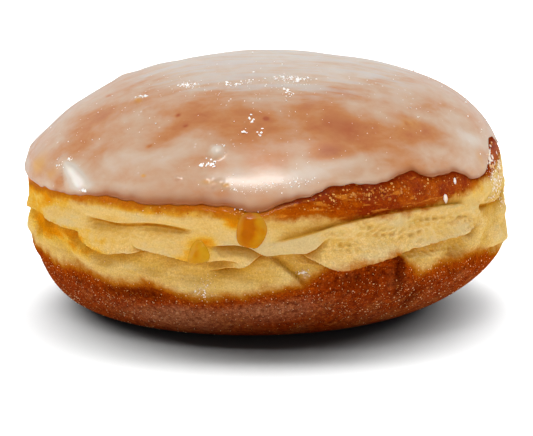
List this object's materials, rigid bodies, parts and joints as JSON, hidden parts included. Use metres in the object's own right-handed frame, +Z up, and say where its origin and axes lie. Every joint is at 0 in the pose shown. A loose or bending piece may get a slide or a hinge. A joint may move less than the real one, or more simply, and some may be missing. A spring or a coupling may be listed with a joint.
{
  "type": "glazed doughnut",
  "caption": "Round doughnut without a hole: browned crusts, a pale folded belt and a thin glaze over its top.",
  "frame": {"origin": "middle of the doughnut's footprint, on the surface it rests on", "axes": "+Z up, -Y the side the picture shows, +X to its right"},
  "size_m": [0.091, 0.0912, 0.0461],
  "materials": {
    "dough": "soft fried dough: brown crusts under and over a pale yellow crumpled belt",
    "glaze": "glossy, milky, half clear sugar glaze over brown crust"
  },
  "bodies": {
    "root": {"dough": "dough", "glaze": "glaze"}
  },
  "joints": []
}
